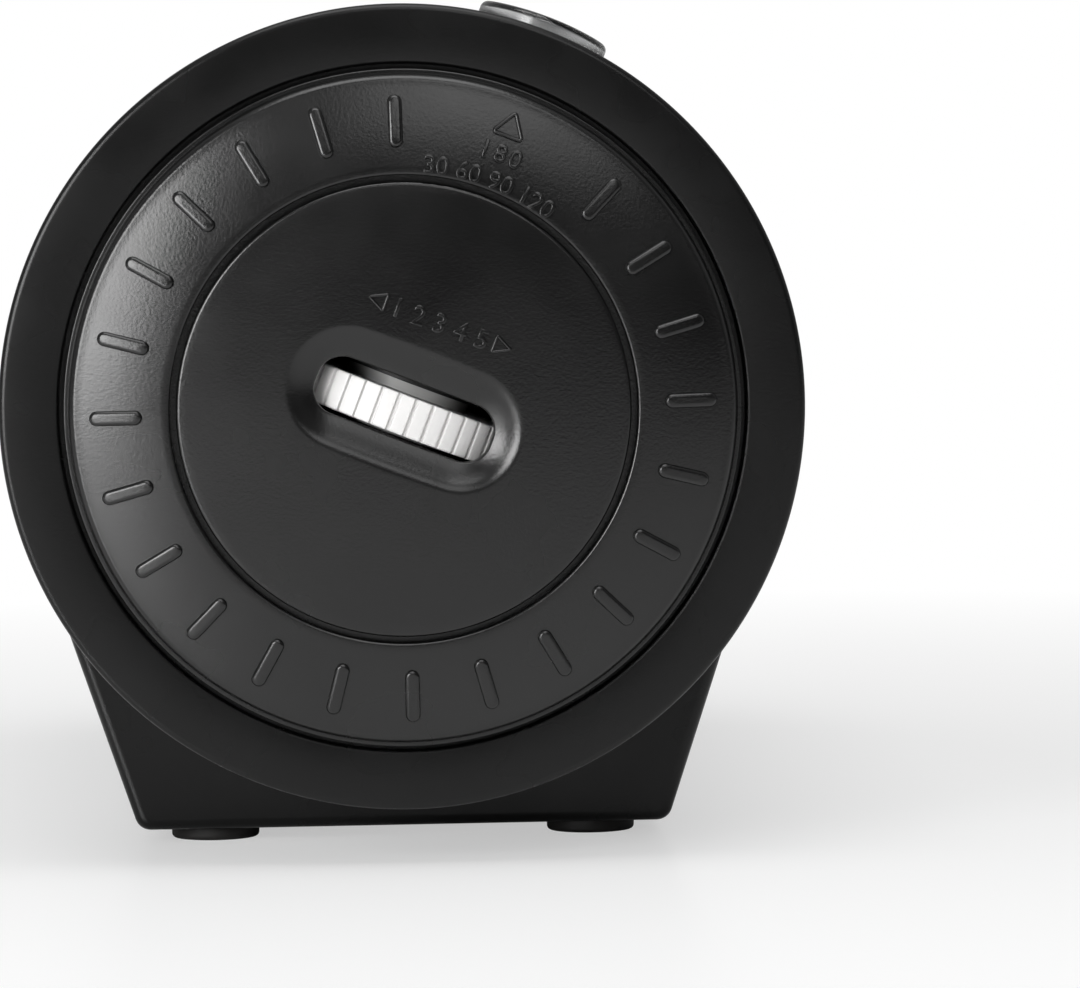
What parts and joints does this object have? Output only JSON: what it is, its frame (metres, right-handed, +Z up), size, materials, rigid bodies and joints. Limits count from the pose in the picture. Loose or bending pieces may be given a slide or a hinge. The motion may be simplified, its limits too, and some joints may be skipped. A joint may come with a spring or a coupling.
{
  "type": "projection alarm clock",
  "caption": "Barrel-shaped alarm clock on a tapered base, with an end drum that turns to aim a projected time and a ribbed focus wheel.",
  "frame": {"origin": "bottom centre of the clock, on the surface that its feet stand on", "axes": "+Z up, the display faces -Y, the projector drum is at the +X end"},
  "size_m": [0.184, 0.088, 0.0946],
  "materials": {
    "case_black": "fine spark-eroded satin black moulding",
    "cap_black": "fine-textured black moulding",
    "wheel_white": "satin white moulding",
    "smoked": "smoked clear plastic",
    "clear": "clear plastic",
    "lens": "polished clear lens",
    "rubber": "black rubber",
    "steel": "zinc-plated steel",
    "nickel": "nickel-plated contact",
    "board": "green circuit board",
    "parts_black": "black component mouldings",
    "reflector": "grey digit block",
    "segment": "red diffusing segments",
    "ribbon": "flat ribbon insulation",
    "lead": "black lead insulation",
    "felt": "pressed felt",
    "cell": "plain sleeved cell",
    "magnet": "ferrite magnet",
    "cone": "paper cone",
    "key_black": "satin black key"
  },
  "bodies": {
    "case": {"lower_shell": "case_black", "upper_shell": "case_black", "rubber_feet": "rubber", "case_screws": "steel", "display_window": "smoked", "digit_block": "reflector", "digit_segments": "segment", "display_board": "board", "ribbons": "ribbon", "key_switches": "parts_black", "key_board": "board", "key_board_screws": "steel", "main_board": "board", "board_parts": "parts_black", "board_screws": "steel", "power_jack": "parts_black", "jack_pin": "nickel", "switch_body": "parts_black", "backup_cells": "cell", "battery_contacts": "nickel", "lead_fixed": "lead", "sounder_drum": "case_black", "sounder_screws": "steel", "sounder_grille": "cap_black", "sounder_frame": "steel", "sounder_cone": "cone", "sounder_magnet": "magnet", "sounder_lead": "lead"},
    "drum": {"projector_drum": "case_black", "hub_washer": "felt", "dial_cap": "cap_black", "centre_cover": "cap_black", "lens_guide": "parts_black", "lamp_housing": "parts_black", "crystal_tile": "lens", "condenser_lens": "lens", "lamp_board": "board", "projector_lamp": "clear", "bracket_screws": "steel", "lens_window": "clear", "driver_board": "board", "driver_parts": "parts_black", "driver_screws": "steel", "lead_turning": "lead"},
    "focus": {"focus_wheel": "wheel_white"},
    "lens": {"lens_tube": "parts_black", "lens_elements": "lens"},
    "snooze": {"snooze_bar": "key_black", "snooze_plunger": "parts_black"},
    "switch": {"switch_knob": "key_black"},
    "door": {"battery_door": "case_black"},
    "key_1": {"key_1": "key_black", "key_1_plunger": "parts_black"},
    "key_2": {"key_2": "key_black", "key_2_plunger": "parts_black"},
    "key_3": {"key_3": "key_black", "key_3_plunger": "parts_black"},
    "key_4": {"key_4": "key_black", "key_4_plunger": "parts_black"}
  },
  "joints": [
    {"name": "drum_turn", "type": "hinge", "parent": "case", "child": "drum", "pos_m": [0.0596, 0, 0.0502], "axis": [1, 0, 0], "range_deg": [-68.3, 111.7]},
    {"name": "focus_turn", "type": "hinge", "parent": "drum", "child": "focus", "pos_m": [0.0768, 0, 0.0502], "axis": [0, 0.3697, 0.9291], "range_deg": [-180, 180]},
    {"name": "lens_slide", "type": "slide", "parent": "drum", "child": "lens", "axis": [0, 0.3697, 0.9291], "range_m": [-0.0018, 0.0018]},
    {"name": "snooze_press", "type": "slide", "parent": "case", "child": "snooze", "axis": [0, 0, -1], "range_m": [0, 0.0008], "stiffness_N_per_m": 150, "springref_m": -0.002},
    {"name": "key_1_press", "type": "slide", "parent": "case", "child": "key_1", "axis": [0, 0, -1], "range_m": [0, 0.0008], "stiffness_N_per_m": 150, "springref_m": -0.002},
    {"name": "key_2_press", "type": "slide", "parent": "case", "child": "key_2", "axis": [0, 0, -1], "range_m": [0, 0.0008], "stiffness_N_per_m": 150, "springref_m": -0.002},
    {"name": "key_3_press", "type": "slide", "parent": "case", "child": "key_3", "axis": [0, 0, -1], "range_m": [0, 0.0008], "stiffness_N_per_m": 150, "springref_m": -0.002},
    {"name": "key_4_press", "type": "slide", "parent": "case", "child": "key_4", "axis": [0, 0, -1], "range_m": [0, 0.0008], "stiffness_N_per_m": 150, "springref_m": -0.002},
    {"name": "switch_slide", "type": "slide", "parent": "case", "child": "switch", "axis": [1, 0, 0], "range_m": [0, 0.004]},
    {"name": "door_hinge", "type": "hinge", "parent": "case", "child": "door", "pos_m": [0.0245, 0, 0.0015], "axis": [0, -1, 0], "range_deg": [0, 75]}
  ],
  "couplings": [
    {"joint": "focus_turn", "follows": "lens_slide", "rad_per_m": 1700}
  ]
}
